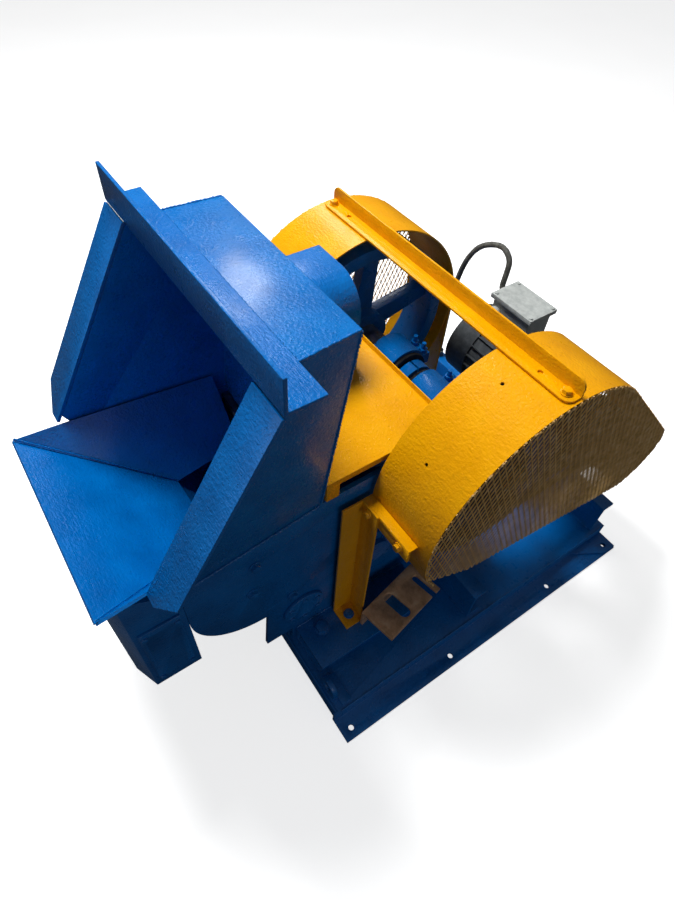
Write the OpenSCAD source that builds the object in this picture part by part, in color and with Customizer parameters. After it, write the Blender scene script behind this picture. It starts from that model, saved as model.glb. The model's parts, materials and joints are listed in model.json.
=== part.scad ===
// Belt-driven hammer mill on a welded base frame.
// X runs along the shafts, -Y is the feed side, +Y the motor side, +Z is up.
// The origin is the middle of the base's footprint, on the floor.

/* [Base frame] */
// Length of the base along the feed direction
base_length = 914; // [900:1:940]
// Width of the base over its bolt-down flanges
base_width = 870; // [860:1:900]
// Width of the bolt-down flange
flange_width = 55; // [45:1:60]
// Height of the side rails
rail_height = 46; // [40:1:52]
// Depth of the cross channels that stand on the rails
channel_depth = 102; // [95:1:105]

/* [Mill body] */
// Distance over the outsides of the two side plates
body_width = 356; // [350:1:360]
// Height of the joint between the hopper and the side plates
joint_height = 570; // [566:1:572]
// Radius of the circle swept by the hammer tips
hammer_reach = 138; // [120:1:140]

/* [Hopper] */
// Height of the hopper's flat top
hopper_top = 958; // [930:1:980]
// Width over the hopper's side walls at the top
hopper_width = 410; // [400:1:420]
// Width of the picture-frame flange round the mouth
mouth_flange = 66; // [50:1:75]
// Height of the feed tray's front lip
tray_lip_height = 620; // [610:1:640]

/* [Drive] */
// Height of the main shaft above the floor
shaft_height = 520; // [510:1:530]
// Outer radius of the two large wheels
wheel_radius = 228; // [210:1:232]
// Outer radius of the motor pulley
motor_pulley_radius = 92; // [70:1:94]

/* [Guards] */
// Radius of the guard sheet round the large wheels
guard_radius = 265; // [258:1:270]
// Width of each guard between its inner edge and its mesh
guard_width = 165; // [150:1:170]
// Distance from the middle of the mill to a guard's inner edge
guard_inner = 190; // [188:1:194]

/* [Hidden] */
$fn = 64;

blue = "#0b5fae";
dark_blue = "#0a4a8c";
yellow = "#f2b705";
steel = "#a9adb2";
tan_steel = "#9a7050";
motor_grey = "#5b5f63";
box_grey = "#8a9090";
rubber = "#2a2a2c";

// Base
plate = 6;
half_width = base_width / 2;
half_length = base_length / 2;
rail_outer = half_width - flange_width;
rail_inner = 150;
anchor_x = half_width - 22;
anchor_y = [-432, -134, 207, 432];
anchor_hole = 6.5;
front_face = -446;
channel_reach = 368;
channel_flange = 40;
channel_web = 6;
middle_channel_y = -52;
rear_channel_y = 410;
deck = rail_height;
channel_top = deck + channel_depth;
sill_top = 100;
sill_edge = 293;
sill_front = -433;
sill_rear = -120;
sill_bolt_x = 213;
sill_bolt_y = -382;
post_bolt_at = 220;

// Mill body
body_half = body_width / 2;
wall = 10;
body_inner = body_half - wall;
nose_y = -498;
nose_z = 402;
nose_r = 155;
foot_front = -508;
foot_bottom = 105;
rotor_y = -240;
rotor_z = 300;
wrap_outer = hammer_reach + 20;
wrap_inner = wrap_outer - 6;
screen_inner = hammer_reach + 7;
screen_outer = screen_inner + 4;
spout_half = 145;
spout_bottom = 30;
spout_bolt_x = 125;
chamber_end = 84;          // inner face of the wall between the rotor and the transfer belt
end_wall = 8;
beam_top = 430;
body_rear = 95;
liner_bolts = [[-527, 390], [-440, 282], [-514, 484], [-180, 470]];
inspection_y = -413;
inspection_z = 200;

// Hopper
sheet = 6;
hopper_half = hopper_width / 2;
hopper_front = -488;
hopper_back = -329;
hopper_back_low = -375;
mouth_low_y = -687;
mouth_low_z = tray_lip_height + 12;
mouth_lean = atan2(hopper_front - mouth_low_y, hopper_top - mouth_low_z);
mouth_length = norm([hopper_front - mouth_low_y, hopper_top - mouth_low_z]);
mouth_half = hopper_half + mouth_flange;
top_angle_leg = 60;
tray_lip_y = -778;
tray_half = 201;
inlet_half = 79;
inlet_y = -546;
inlet_z = 469;
tray_fall = (tray_lip_height - inlet_z) / (inlet_y - tray_lip_y);
toe_y = -396;
toe_z = 250;

// Drive
shaft_r = 30;
wheel_in = 196;
wheel_out = 282;
sheave_out = 290;
groove_x = [222, 246, 270];
belt_w = 14;
groove_depth = 16;
motor_y = 390;
motor_z = 350;
transfer_x = 104;
transfer_w = 44;
transfer_r = 82;
rotor_pulley_r = 41;
rotor_shaft_r = 20;
pin_circle = 82;
pin_r = 8;
disc_r = 104;
disc_t = 8;
disc_x = [-146, -92, -38, 16, 62];
motor_r = 104;

// Guards
guard_outer = guard_inner + guard_width;
guard_sheet = 3;
small_guard_r = 115;
brace_z = shaft_height + guard_radius;
brace_leg = 34;
brace_thick = 4;
brace_reach = 350;
cover_z = 618;
post_y = -286;
post_leg = 50;
post_top = 534;
brace_rear = 4;
brace_bolt_x = 330;
brace_hole_x = 274;
brace_hole_y = -13;
bracket_bolt_x = 300;
bracket_bolt_z = 516;
post_bolt_x = guard_inner + 24;
spare_holes = [[252, 106], [260, 146]];   // place along X and angle round the shaft

// ---- helpers ----

// An outline drawn in Y and Z, given a thickness along X from x0 to x1.
module slab(x0, x1) {
  translate([x0, 0, 0]) rotate([90, 0, 90]) linear_extrude(x1 - x0) children();
}

// A round bar along X.
module rod(r, x0, x1, y, z) {
  translate([x0, y, z]) rotate([0, 90, 0]) cylinder(r = r, h = x1 - x0);
}

// A ring along X.
module ring(r_out, r_in, x0, x1, y, z) {
  difference() {
    rod(r_out, x0, x1, y, z);
    rod(r_in, x0 - 1, x1 + 1, y, z);
  }
}

module box(x0, x1, y0, y1, z0, z1) {
  translate([x0, y0, z0]) cube([x1 - x0, y1 - y0, z1 - z0]);
}

// Both sides of the mill: the children and their mirror image.
module both_sides() {
  children();
  mirror([1, 0, 0]) children();
}

// A hex bolt hanging down from z = 0: head and washer above, shank below.
module hex_bolt(r, grip, head = 1.7) {
  translate([0, 0, 2]) cylinder(r = r * head, h = r * 1.3, $fn = 6);
  cylinder(r = r * 2.1, h = 2);
  translate([0, 0, -grip]) cylinder(r = r - 0.2, h = grip);
}

// Outline round two wheels joined by a belt's straight runs.
module belt_area(y1, z1, r1, y2, z2, r2) {
  reach = norm([y2 - y1, z2 - z1]);
  lean = atan2(z2 - z1, y2 - y1);
  spread = acos((r1 - r2) / reach);
  a = lean + spread;
  b = lean - spread;
  proud = 0.02;            // keeps the straight runs clear of a tangent touch
  big = r1 + proud;
  small = r2 + proud;
  translate([y1, z1]) circle(r1);
  translate([y2, z2]) circle(r2);
  polygon([
    [y1 + big * cos(a), z1 + big * sin(a)], [y2 + small * cos(a), z2 + small * sin(a)],
    [y2 + small * cos(b), z2 + small * sin(b)], [y1 + big * cos(b), z1 + big * sin(b)]
  ]);
}

module belt_outline(y1, z1, r1, y2, z2, r2, thick) {
  difference() {
    belt_area(y1, z1, r1, y2, z2, r2);
    belt_area(y1, z1, r1 - thick, y2, z2, r2 - thick);
  }
}

function unit(v) = v / norm(v);

// A flat plate whose face passes through the given corners. It is thickened along
// the normal that the first three corners turn round counter-clockwise.
module plate_through(corners, thick) {
  normal = unit(cross(corners[1] - corners[0], corners[2] - corners[0]));
  tilt = acos(normal[2]);
  turn = atan2(normal[1], normal[0]);
  along = [cos(tilt) * cos(turn), cos(tilt) * sin(turn), -sin(tilt)];
  across = [-sin(turn), cos(turn), 0];
  translate(corners[0]) rotate([0, tilt, turn]) linear_extrude(thick)
    polygon([for (p = corners) [(p - corners[0]) * along, (p - corners[0]) * across]]);
}

// A large block on the inner side of the plane through three corners, starting inset below it.
module block_behind(corners, inset) {
  normal = unit(cross(corners[1] - corners[0], corners[2] - corners[0]));
  tilt = acos(normal[2]);
  turn = atan2(normal[1], normal[0]);
  span = 1800;
  translate(corners[0]) rotate([0, tilt, turn]) translate([-span / 2, -span / 2, inset])
    cube([span, span, 600]);
}

// An outline drawn in X and Z, given a thickness along Y from y0 to y1.
module along_y(y0, y1) {
  translate([0, y1, 0]) rotate([90, 0, 0]) linear_extrude(y1 - y0) children();
}

// ---- base ----

module base_rail() {
  difference() {
    union() {
      box(rail_outer, half_width, -half_length, half_length, 0, plate);
      box(rail_outer - plate, rail_outer, -half_length, half_length, 0, deck);
      box(rail_inner, rail_outer, -half_length + 11, half_length, deck - plate, deck);
      box(rail_inner, rail_inner + plate, -half_length + 11, half_length, 0, deck);
    }
    for (y = anchor_y) translate([anchor_x, y, -1]) cylinder(r = anchor_hole, h = plate + 2);
  }
}

module base_rail_near() { color(blue) base_rail(); }

module base_rail_far() { color(blue) mirror([1, 0, 0]) base_rail(); }

module front_cross_member() {
  color(dark_blue) union() {
    box(-rail_outer + plate, rail_outer - plate, front_face - plate, front_face, 0, deck);
    box(-rail_inner, rail_inner, front_face, front_face + 40, deck - plate, deck);
  }
}

module cross_channel(y) {
  union() {
    box(-channel_reach, channel_reach, y, y + channel_web, deck, channel_top);
    box(-channel_reach, channel_reach, y, y + channel_flange, channel_top - 7, channel_top);
    box(-channel_reach, channel_reach, y, y + channel_flange, deck, deck + 7);
  }
}

module cross_channel_middle() { color(blue) cross_channel(middle_channel_y); }

module cross_channel_rear() { color(blue) cross_channel(rear_channel_y); }

// Loose triangular plates on the rear corners of the bolt-down flanges.
module corner_plates() {
  color(blue) both_sides() difference() {
    translate([0, 0, plate]) linear_extrude(6) polygon([
      [rail_outer, half_length - 130], [half_width - 2, half_length - 40],
      [half_width - 2, half_length], [rail_outer, half_length]
    ]);
    translate([anchor_x, anchor_y[3], 0]) cylinder(r = anchor_hole, h = 20);
  }
}

// Low channels that carry the side plates and the guard posts.
module sill() {
  difference() {
    union() {
      box(body_half, sill_edge, sill_front, sill_rear, sill_top - 8, sill_top);
      box(body_half, body_half + 8, sill_front, sill_rear, deck, sill_top - 8);
      box(body_half, sill_edge - 12, sill_front, sill_rear, deck, deck + 6);
    }
    translate([sill_bolt_x, sill_bolt_y, sill_top - 9]) cylinder(r = 8.5, h = 10);
    translate([post_bolt_at, post_y - 25, sill_top - 9]) cylinder(r = 6, h = 10);
  }
}

module sill_near() { color(blue) sill(); }

module sill_far() { color(blue) mirror([1, 0, 0]) sill(); }

module front_lifting_lugs() {
  color(dark_blue) both_sides() difference() {
    union() {
      box(300, 352, -442, -430, deck, 72);
      translate([326, -430, 72]) rotate([90, 0, 0]) cylinder(r = 26, h = 12);
      box(300, 372, -430, -405, deck, deck + 8);
    }
    translate([326, -425, 72]) rotate([90, 0, 0]) cylinder(r = 12, h = 22);
  }
}

// ---- mill body ----

bearing_bolt_reach = 34;   // from the rotor's axis to each bearing bolt, along Y and along Z

module side_outline() {
  polygon([
    [nose_y - nose_r, joint_height], [nose_y - nose_r, nose_z], [nose_y, nose_z - nose_r],
    [foot_front, foot_bottom], [sill_front - 8, foot_bottom], [sill_front - 8, deck],
    [middle_channel_y - 4, deck], [middle_channel_y - 4, channel_top + 6],
    [body_rear, channel_top + 6], [body_rear, beam_top], [-body_rear, beam_top],
    [-body_rear, joint_height]
  ]);
  translate([nose_y, nose_z]) circle(nose_r);
}

module side_plate(x0, x1) {
  difference() {
    slab(x0, x1) side_outline();
    for (p = liner_bolts) rod(6, x0 - 1, x1 + 1, p[0], p[1]);
    rod(rotor_shaft_r + 4, x0 - 1, x1 + 1, rotor_y, rotor_z);
    for (s = [-1, 1], t = [-1, 1])
      rod(6, x0 - 1, x1 + 1, rotor_y + s * bearing_bolt_reach, rotor_z + t * bearing_bolt_reach);
  }
}

module side_plate_near() { color(blue) side_plate(body_inner, body_half); }

module side_plate_far() { color(blue) side_plate(-body_half, -body_inner); }

// Bolts through the sills and the side plates, with the rotor bearings' bolts.
module body_bolts() {
  color(dark_blue) both_sides() {
    translate([sill_bolt_x, sill_bolt_y, sill_top]) hex_bolt(8.5, 8, 1.8);
    translate([post_bolt_at, post_y - 25, sill_top + 5]) hex_bolt(6, 13);
    for (p = liner_bolts) translate([body_half, p[0], p[1]]) rotate([0, 90, 0]) hex_bolt(6, wall);
    for (s = [-1, 1], t = [-1, 1])
      translate([body_half + 10, rotor_y + s * bearing_bolt_reach, rotor_z + t * bearing_bolt_reach])
        rotate([0, 90, 0]) hex_bolt(6, wall + 10, 1.4);
  }
}

// Round bolted cover over the cleaning port at the toe of the feed.
module inspection_cover() {
  color(blue) {
    rod(50, body_half, body_half + 8, inspection_y, inspection_z);
    for (a = [30 : 60 : 330])
      translate([body_half + 8, inspection_y + 38 * cos(a), inspection_z + 38 * sin(a)])
        rotate([0, 90, 0]) cylinder(r = 7, h = 5, $fn = 6);
  }
}

// Rolled shell round the rotor, open at the front for the feed and below for the screen,
// with the feed slope, the back plate and the wall that shuts off the belt's side.
module chamber_wrap() {
  back_y = hopper_back_low - 4;
  color(dark_blue) union() {
    slab(-body_inner, chamber_end) difference() {
      translate([rotor_y, rotor_z]) circle(wrap_outer);
      translate([rotor_y, rotor_z]) circle(wrap_inner);
      polygon([
        [rotor_y, rotor_z], [rotor_y - 400, rotor_z + 262], [rotor_y - 400, rotor_z - 400],
        [rotor_y + 210, rotor_z - 400]
      ]);
    }
    slab(-body_inner, chamber_end) polygon([
      [back_y, joint_height - 4], [back_y + 6, joint_height - 4], [back_y + 6, 385], [back_y, 382]
    ]);
    slab(-body_inner, chamber_end) polygon([
      [inlet_y, inlet_z - 12], [toe_y, toe_z], [toe_y, toe_z - 9], [inlet_y - 7, inlet_z - 16]
    ]);
    difference() {
      slab(chamber_end, chamber_end + end_wall) union() {
        translate([rotor_y, rotor_z]) circle(wrap_outer);
        polygon([
          [inlet_y, inlet_z - 12], [toe_y, toe_z - 9], [rotor_y, rotor_z], [back_y + 6, 400],
          [back_y + 6, inlet_z + 8]
        ]);
      }
      rod(rotor_shaft_r + 4, 0, 160, rotor_y, rotor_z);
    }
  }
}

// Toothed anvil that the hammers throw the grain against.
module breaker_plate() {
  front = hopper_back_low - 18;
  teeth = 7;
  color(steel) slab(-body_inner + 1, chamber_end - 1) difference() {
    polygon([[front, 560], [front + 13, 560], [front + 13, 404], [front, 410]]);
    for (i = [0 : teeth - 1]) translate([front - 2, 428 + i * 20]) rotate(45) square(9, center = true);
  }
}

// Curved screen below the rotor, drilled in rows.
module screen() {
  rows = 9;
  holes = 7;
  color(steel) difference() {
    slab(-body_inner + 1, chamber_end - 1) difference() {
      translate([rotor_y, rotor_z]) circle(screen_outer);
      translate([rotor_y, rotor_z]) circle(screen_inner);
      translate([rotor_y - 200, rotor_z - 55]) square([400, 300]);
      polygon([
        [rotor_y, rotor_z], [rotor_y + 400, rotor_z], [rotor_y + 400, rotor_z - 400],
        [rotor_y + 230, rotor_z - 400]
      ]);
    }
    for (i = [0 : rows - 1], k = [0 : holes - 1])
      translate([-body_inner + 24 + k * 33, rotor_y, rotor_z]) rotate([122 + i * 10, 0, 0])
        translate([0, 0, screen_inner - 3]) cylinder(r = 6, h = 10);
  }
}

// Flanged outlet under the screen.
module discharge_spout() {
  front = rotor_y - 120;
  rear = rotor_y + 110;
  color(blue) difference() {
    union() {
      box(-spout_half, spout_half, front, rear, spout_bottom, 138);
      box(-body_inner, body_inner, front, rear, 130, 138);
      box(-spout_half, spout_half, front - 20, rear + 20, spout_bottom, spout_bottom + 6);
    }
    box(-spout_half + 6, spout_half - 6, front + 6, rear - 6, spout_bottom - 1, 139);
    rod(screen_outer + 1, -body_half, body_half, rotor_y, rotor_z);
    for (x = [-spout_bolt_x, spout_bolt_x], y = [front - 10, rear + 10])
      translate([x, y, spout_bottom - 1]) cylinder(r = 4.5, h = 8);
  }
}

// ---- hopper and feed ----

// Everything inside both leaning side walls, less a margin.
module between_walls(inset) {
  corners = [
    [hopper_half, hopper_front, hopper_top], [body_half, hopper_back_low, joint_height],
    [hopper_half, mouth_low_y, mouth_low_z]
  ];
  intersection() {
    block_behind(corners, inset);
    mirror([1, 0, 0]) block_behind(corners, inset);
  }
}

// Three welded walls and the flat top, open at the mouth and below.
module hopper_shell() {
  ledge_front = mouth_low_y + 34;
  color(blue) union() {
    difference() {
      intersection() {
        slab(-300, 300) polygon([
          [hopper_front, hopper_top], [hopper_back, hopper_top], [hopper_back_low, joint_height],
          [mouth_low_y + 30, joint_height], [mouth_low_y, mouth_low_z]
        ]);
        between_walls(0);
      }
      intersection() {
        slab(-300, 300) polygon([
          [-900, hopper_top - sheet], [hopper_back - sheet, hopper_top - sheet],
          [hopper_back_low - sheet, joint_height - 1], [-900, joint_height - 1]
        ]);
        between_walls(sheet);
      }
    }
    // ledges between the walls' lower edges and the side plates
    both_sides() translate([0, 0, joint_height]) linear_extrude(3) polygon([
      [body_inner, hopper_back_low - 3], [body_half - 3, hopper_back_low - 3],
      [hopper_half - 6, ledge_front], [body_inner, ledge_front]
    ]);
  }
}

// Turns a flat shape drawn in the mouth's plane, u along X and v up the slope.
module in_mouth_plane() {
  translate([0, mouth_low_y, mouth_low_z]) rotate([90 - mouth_lean, 0, 0]) children();
}

// Flat bars down both sides of the mouth.
module mouth_frame() {
  color(blue) both_sides() in_mouth_plane() translate([hopper_half - sheet, -14, 0])
    linear_extrude(sheet) difference() {
      square([mouth_flange + sheet, mouth_length + 8]);
      polygon([[mouth_flange + sheet + 1, -1], [mouth_flange + sheet + 1, 46], [26, -1]]);
    }
}

module mouth_top_angle() {
  color(blue) union() {
    box(-mouth_half, mouth_half, hopper_front - 6, hopper_front, hopper_top + 1, hopper_top + top_angle_leg);
    box(-mouth_half, mouth_half, hopper_front - 6, hopper_front + top_angle_leg - 6,
      hopper_top, hopper_top + 6);
  }
}

// Scoop in front of the mouth: a sloping floor between two wings that narrow to the inlet.
module feed_tray() {
  lip = [tray_half, tray_lip_y, tray_lip_height];
  inlet = [inlet_half, inlet_y, inlet_z];
  wing_back = [inlet_half + 5, hopper_back_low - 30, inlet_z + 21.4];
  wall_back = [170.6, hopper_back_low - 30, 614];
  wall_front = [194.2, mouth_low_y, tray_lip_height];
  color("#0f6fc4") union() {
    plate_through([lip, [-lip[0], lip[1], lip[2]], [-inlet[0], inlet[1], inlet[2]], inlet], 5);
    both_sides() plate_through([lip, inlet, wing_back, wall_back, wall_front], 5);
  }
}

// Box that catches stones and metal that fall out of the feed, under the tray.
module metal_trap_box() {
  front_half = 126;
  corner_y = -749;
  box_front = -770;
  box_rear = nose_y - nose_r - 0.5;
  box_low = 236;
  top_front = tray_lip_height - tray_fall * (box_front - tray_lip_y) - 11;
  top_rear = tray_lip_height - tray_fall * (box_rear - tray_lip_y) - 11;
  color(blue) difference() {
    intersection() {
      slab(-body_half, body_half) polygon([
        [box_front, box_low], [box_rear, box_low], [box_rear, top_rear], [box_front, top_front]
      ]);
      linear_extrude(700) polygon([
        [-front_half, box_front], [front_half, box_front], [body_half, corner_y],
        [body_half, box_rear], [-body_half, box_rear], [-body_half, corner_y]
      ]);
    }
    intersection() {
      slab(-body_half + 5, body_half - 5) polygon([
        [box_front + 5, box_low + 5], [box_rear + 1, box_low + 5], [box_rear + 1, top_rear - 6],
        [box_front + 5, top_front - 6]
      ]);
      linear_extrude(700) polygon([
        [-front_half + 4, box_front + 5], [front_half - 4, box_front + 5], [body_half - 5, corner_y + 3],
        [body_half - 5, box_rear + 1], [-body_half + 5, box_rear + 1], [-body_half + 5, corner_y + 3]
      ]);
    }
  }
}

module trap_door() {
  color(dark_blue) union() {
    box(body_half, body_half + 5, -740, -664, 262, 470);
    for (y = [-732, -672], z = [276, 456])
      translate([body_half + 5, y, z]) rotate([0, 90, 0]) cylinder(r = 6, h = 5, $fn = 6);
  }
}

// Rounded dust hood behind the hopper, standing on the cover sheet.
module dust_vent() {
  radius = 70;
  vent_top = 820;
  vent_low = cover_z + 3.2;
  far_x = -178;
  near_x = -33;
  color(blue) difference() {
    along_y(-372, -151) union() {
      translate([far_x, vent_low]) square([near_x - far_x - radius, vent_top - vent_low]);
      translate([near_x - radius, vent_top - radius]) circle(radius);
      translate([near_x - radius - 1, vent_low]) square([radius + 1, vent_top - radius - vent_low]);
    }
    along_y(-380, -156) union() {
      translate([far_x + 5, vent_low - 1]) square([near_x - far_x - radius - 5, vent_top - vent_low - 4]);
      translate([near_x - radius, vent_top - radius]) circle(radius - 5);
      translate([near_x - radius - 1, vent_low - 1])
        square([radius - 4, vent_top - radius - vent_low + 1]);
    }
    slab(-300, 0) polygon([
      [hopper_back + 0.5, hopper_top], [hopper_back_low + 0.5, joint_height], [-500, joint_height],
      [-500, hopper_top]
    ]);
  }
}

// Folded sheet over the transfer belt.
module cover_sheet() {
  rear = -89;
  front = -364;
  half = 180;
  color(yellow) union() {
    box(-half, half, front, rear, cover_z, cover_z + 3);
    box(-half, half, rear - 3, rear, cover_z - 6, cover_z + 15);
    both_sides() box(half - 3, half, front, rear, cover_z - 12, cover_z);
    both_sides() for (y = [front, -125]) box(body_inner, half, y, y + 28, joint_height + 0.2, cover_z);
  }
}

// ---- guards ----

// What is cut away under both guards: the open lower front.
module guard_cut() {
  polygon([[-400, 100], [-400, 440], [-262, 440], [-120, 352], [500, 224], [500, 100]]);
}

module guard_near_outline(inset) {
  belt_area(0, shaft_height, guard_radius - inset, motor_y, motor_z, small_guard_r - inset);
}

module guard_shell_near() {
  color(yellow) difference() {
    slab(guard_inner, guard_outer) difference() {
      guard_near_outline(0);
      guard_near_outline(guard_sheet);
      guard_cut();
    }
    translate([brace_bolt_x, brace_hole_y, brace_z - 20]) cylinder(r = 5, h = 40);
    translate([bracket_bolt_x, -250, bracket_bolt_z]) rotate([90, 0, 0]) cylinder(r = 5, h = 40);
    for (hole = spare_holes) translate([hole[0], 0, shaft_height]) rotate([hole[1] - 90, 0, 0])
      translate([0, 0, guard_radius - 8]) cylinder(r = 3.5, h = 16);
  }
}

module guard_mesh_near() {
  color("#b08a3a") slab(guard_outer, guard_outer + 2) difference() {
    guard_near_outline(1);
    guard_cut();
  }
}

module guard_shell_far() {
  color(yellow) difference() {
    slab(-guard_outer, -guard_inner) difference() {
      translate([0, shaft_height]) circle(guard_radius);
      translate([0, shaft_height]) circle(guard_radius - guard_sheet);
      polygon([[-400, 100], [-400, 440], [-262, 440], [-120, 330], [120, 300], [400, 380], [400, 100]]);
    }
    translate([-brace_bolt_x, brace_hole_y, brace_z - 20]) cylinder(r = 5, h = 40);
    translate([-bracket_bolt_x, -250, bracket_bolt_z]) rotate([90, 0, 0]) cylinder(r = 5, h = 40);
  }
}

module guard_mesh_far() {
  color("#b08a3a") slab(-guard_outer - 2, -guard_outer) difference() {
    translate([0, shaft_height]) circle(guard_radius - 1);
    polygon([[-400, 100], [-400, 440], [-262, 440], [-120, 330], [120, 300], [400, 380], [400, 100]]);
  }
}

module guard_post() {
  difference() {
    union() {
      box(guard_inner, guard_inner + 5, post_y - post_leg, post_y, sill_top + 5, post_top);
      box(guard_inner, guard_inner + post_leg, post_y - 5, post_y, sill_top + 5, post_top);
      box(guard_inner, guard_inner + 58, post_y - post_leg, post_y, sill_top, sill_top + 5);
    }
    translate([post_bolt_at, post_y - 25, sill_top - 9]) cylinder(r = 6, h = 20);
    translate([post_bolt_x, post_y + 10, bracket_bolt_z]) rotate([90, 0, 0]) cylinder(r = 5, h = 30);
  }
}

module guard_post_near() { color(yellow) guard_post(); }

module guard_post_far() { color(yellow) mirror([1, 0, 0]) guard_post(); }

// Angle brackets from the posts to the guards, and the flat stay behind the far guard.
module guard_brackets() {
  stay_width = 50;
  stay_near = guard_radius + 0.2;
  stay_top = shaft_height + 20;
  color(yellow) box(-guard_inner - stay_width, -guard_inner - 0.5, stay_near, stay_near + 5,
    deck, stay_top);
  color(yellow) both_sides() difference() {
    union() {
      box(guard_inner, 326, post_y, post_y + 5, 498, post_top);
      box(guard_inner, 326, post_y, -guard_radius - 0.5, post_top - 5, post_top);
    }
    translate([post_bolt_x, post_y + 10, bracket_bolt_z]) rotate([90, 0, 0]) cylinder(r = 5, h = 30);
    translate([bracket_bolt_x, post_y + 10, bracket_bolt_z]) rotate([90, 0, 0]) cylinder(r = 5, h = 30);
  }
}

// One leg of the brace angle, flat from y = 0 down to -brace_leg, its free corners rounded.
module brace_flat() {
  corner = brace_leg / 2;
  linear_extrude(brace_thick) {
    translate([-brace_reach, -corner]) square([2 * brace_reach, corner]);
    translate([corner - brace_reach, -brace_leg]) square([2 * (brace_reach - corner), brace_leg]);
    for (s = [-1, 1]) translate([s * (brace_reach - corner), -corner]) circle(corner);
  }
}

module brace_angle() {
  color(yellow) difference() {
    union() {
      translate([0, brace_rear, brace_z]) brace_flat();
      translate([0, brace_rear - brace_thick, brace_z]) rotate([-90, 0, 0]) brace_flat();
    }
    for (x = [-brace_bolt_x, brace_bolt_x, -brace_hole_x, brace_hole_x])
      translate([x, brace_hole_y, brace_z - 1]) cylinder(r = 5, h = 6);
  }
}

module guard_bolts() {
  color(yellow) both_sides() {
    translate([brace_bolt_x, brace_hole_y, brace_z + 4]) hex_bolt(5, 7);
    translate([post_bolt_x, post_y - 5, bracket_bolt_z]) rotate([90, 0, 0]) hex_bolt(5, 10);
    translate([bracket_bolt_x, post_y, bracket_bolt_z]) rotate([90, 0, 0]) hex_bolt(5, 22);
  }
}

// Slotted steel bracket, left bare, on the near sill.
module tension_bracket() {
  half_w = 46;
  half_l = 88;
  top = 60;
  color(tan_steel) translate([278, -205, sill_top]) rotate([0, 0, 12]) difference() {
    union() {
      box(-half_w, half_w, -half_l, half_l, top - 8, top);
      box(-half_w, -half_w + 8, -half_l, half_l, 0, top - 8);
    }
    box(-22, 22, -30, -2, top - 9, top + 1);
    for (x = [-22, 22]) translate([x, -16, top - 9]) cylinder(r = 14, h = 10);
    box(-12, half_w + 1, 58, 74, top - 9, top + 1);
    translate([-12, 66, top - 9]) cylinder(r = 8, h = 10);
  }
}

// ---- bearings and main shaft ----

module bearing_beam() {
  color(dark_blue) difference() {
    box(-body_half, body_half, -90, 90, beam_top, beam_top + 14);
    box(98, 156, -91, 66, beam_top - 1, beam_top + 15);
    for (x = block_bolts_x, y = [-block_bolt_y, block_bolt_y])
      translate([x, y, beam_top - 1]) cylinder(r = 6, h = 16);
  }
}

block_bolts_x = [-106, -62, 24, 68];
block_bolt_y = 74;

// A split bearing housing on the beam, bored for the main shaft's bush.
module bearing_block(x0, x1, r) {
  base = beam_top + 14;
  difference() {
    union() {
      rod(r, x0, x1, 0, shaft_height);
      box(x0, x1, -r, r, base, shaft_height);
      box(x0, x1, -88, 88, base, base + 24);
      box(x0 + 8, x1 - 8, -r - 22, r + 22, shaft_height - 14, shaft_height + 14);
    }
    rod(shaft_r + 0.05, x0 - 1, x1 + 1, 0, shaft_height);
    for (x = [x0 + 13, x1 - 13], y = [-block_bolt_y, block_bolt_y])
      translate([x, y, base - 1]) cylinder(r = 6, h = 26);
  }
}

module bearing_block_far() { color("#1670c8") bearing_block(-119, -49, 58); }

module bearing_block_near() { color("#1670c8") bearing_block(11, 81, 50); }

// Studs with nuts that hold the caps down, and the feet's bolts.
module bearing_studs() {
  base = beam_top + 14 + 24;
  color(dark_blue) for (b = [[-119, -49, 58], [11, 81, 50]], x = [b[0] + 20, b[1] - 20], s = [-1, 1])
    translate([x, s * (b[2] + 11), shaft_height + 14]) {
      cylinder(r = 10, h = 9, $fn = 6);
      cylinder(r = 5, h = 24);
    }
  color(dark_blue) for (x = block_bolts_x, y = [-block_bolt_y, block_bolt_y])
    translate([x, y, base]) hex_bolt(6, 38);
}

module bearing_seals() {
  color(rubber) {
    ring(52, shaft_r + 1, -48.6, -40, 0, shaft_height);
    ring(44, shaft_r + 1, 2, 10.6, 0, shaft_height);
  }
}

// Flange bearings of the rotor shaft, one on each side plate.
module rotor_bearings() {
  color(dark_blue) both_sides() difference() {
    union() {
      rod(62, body_half, body_half + 10, rotor_y, rotor_z);
      rod(36, body_half + 10, body_half + 22, rotor_y, rotor_z);
    }
    rod(rotor_shaft_r + 0.05, body_half - 1, body_half + 15, rotor_y, rotor_z);
    for (s = [-1, 1], t = [-1, 1])
      rod(6, body_half - 1, body_half + 11, rotor_y + s * bearing_bolt_reach,
        rotor_z + t * bearing_bolt_reach);
  }
}

module main_shaft() {
  color(steel) union() {
    rod(shaft_r, -300, 308, 0, shaft_height);
    rod(shaft_r - 3, -306, -300, 0, shaft_height);
    rod(shaft_r - 3, 308, 314, 0, shaft_height);
  }
}

module wheel_spokes(x0, x1, hub, rim, count) {
  for (i = [0 : count - 1]) slab(x0, x1) translate([0, shaft_height]) rotate(i * 360 / count + 12)
    polygon([[hub - 6, -26], [rim + 4, -18], [rim + 4, 18], [hub - 6, 26]]);
}

// Large grooved sheave on the near end, driven by the motor's belts.
module drive_sheave() {
  color(blue) difference() {
    union() {
      ring(wheel_radius, wheel_radius - 40, 206, sheave_out, 0, shaft_height);
      wheel_spokes(236, 256, 48, wheel_radius - 40, 5);
      rod(52, 206, 290, 0, shaft_height);
    }
    rod(shaft_r, 200, 300, 0, shaft_height);
    for (x = groove_x)
      ring(wheel_radius + 5, wheel_radius - groove_depth, x - belt_w / 2 - 1, x + belt_w / 2 + 1, 0,
        shaft_height);
  }
}

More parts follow.
